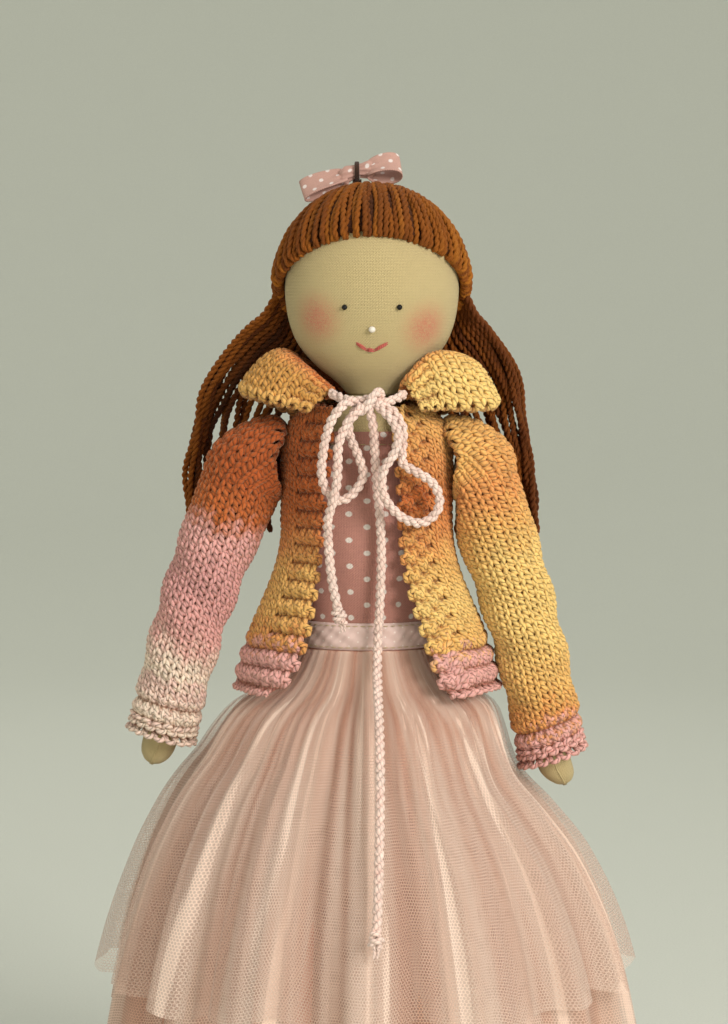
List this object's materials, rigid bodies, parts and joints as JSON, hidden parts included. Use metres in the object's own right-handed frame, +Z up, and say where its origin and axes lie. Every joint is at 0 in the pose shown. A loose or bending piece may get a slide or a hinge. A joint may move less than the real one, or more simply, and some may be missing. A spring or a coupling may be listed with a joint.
{
  "type": "waldorf doll",
  "caption": "Standing cloth doll with yarn hair, a dotted bodice, a layered tulle skirt, a hooded knitted cardigan tied with a cord, and arms and legs that swing.",
  "frame": {"origin": "middle of the doll on the plane that its soles stand on", "axes": "+Z up, the doll faces -Y, +X to the right of a viewer in front of it"},
  "size_m": [0.1999, 0.1784, 0.4007],
  "materials": {
    "skin_cloth": "fine unbleached cotton weave",
    "eye_bead": "polished black bead",
    "pearl": "pearly seed bead",
    "mouth_thread": "stranded embroidery thread",
    "hair_yarn": "two-ply brown yarn",
    "bow_cotton": "dotted cotton",
    "bow_thread": "brown thread winding",
    "dotted_cotton": "dusty rose cotton with white dots",
    "satin_band": "pale satin with fine dots and stitches",
    "tulle": "soft hexagonal net",
    "knit_rose": "stocking stitch, rust to pink stripes",
    "knit_gold": "stocking stitch, orange to yellow stripes",
    "knit_rust": "seed stitch and stocking stitch stripes",
    "knit_yellow": "stocking stitch with a garter edge",
    "tie_cord": "pale pink chained cord"
  },
  "bodies": {
    "doll": {"torso": "skin_cloth", "head": "skin_cloth", "eye_left": "eye_bead", "eye_right": "eye_bead", "nose_bead": "pearl", "mouth_stitches": "mouth_thread", "bodice": "dotted_cotton", "waistband": "satin_band", "tulle_under": "tulle", "tulle_middle": "tulle", "tulle_overlay": "tulle", "cardigan_back": "knit_rust", "cardigan_front_left": "knit_rust", "cardigan_front_right": "knit_rust", "hood": "knit_yellow", "hair_crown": "hair_yarn", "hair_cap": "hair_yarn", "hair_fall_left": "hair_yarn", "hair_fall_back": "hair_yarn", "hair_fall_right": "hair_yarn", "bow_loop_left": "bow_cotton", "bow_loop_right": "bow_cotton", "bow_knot": "bow_thread", "tie_knot": "tie_cord", "tie_neck_left": "tie_cord", "tie_neck_right": "tie_cord", "tie_loop_left": "tie_cord", "tie_loop_right": "tie_cord", "tie_tail_left": "tie_cord", "tie_tail_right": "tie_cord", "tail_knot_left": "tie_cord", "tail_knot_right": "tie_cord"},
    "left_arm": {"arm_left": "skin_cloth", "sleeve_left": "knit_rose"},
    "right_arm": {"arm_right": "skin_cloth", "sleeve_right": "knit_gold"},
    "left_leg": {"leg_left": "skin_cloth"},
    "right_leg": {"leg_right": "skin_cloth"}
  },
  "joints": [
    {"name": "shoulder_left", "type": "hinge", "parent": "doll", "child": "left_arm", "pos_m": [-0.0421, 0, 0.28803], "axis": [-1, 0, 0], "range_deg": [-20, 120], "deforming": ["hood"]},
    {"name": "shoulder_right", "type": "hinge", "parent": "doll", "child": "right_arm", "pos_m": [0.0373, 0, 0.28803], "axis": [-1, 0, 0], "range_deg": [-20, 120], "deforming": ["hood"]},
    {"name": "hip_left", "type": "hinge", "parent": "doll", "child": "left_leg", "pos_m": [-0.015, 0, 0.178], "axis": [-1, 0, 0], "range_deg": [-20, 90], "deforming": ["tulle_under", "tulle_middle", "tulle_overlay", "tie_tail_right", "tail_knot_right"]},
    {"name": "hip_right", "type": "hinge", "parent": "doll", "child": "right_leg", "pos_m": [0.015, 0, 0.178], "axis": [-1, 0, 0], "range_deg": [-20, 90], "deforming": ["tulle_under", "tulle_middle", "tulle_overlay", "tie_tail_right", "tail_knot_right"]}
  ]
}
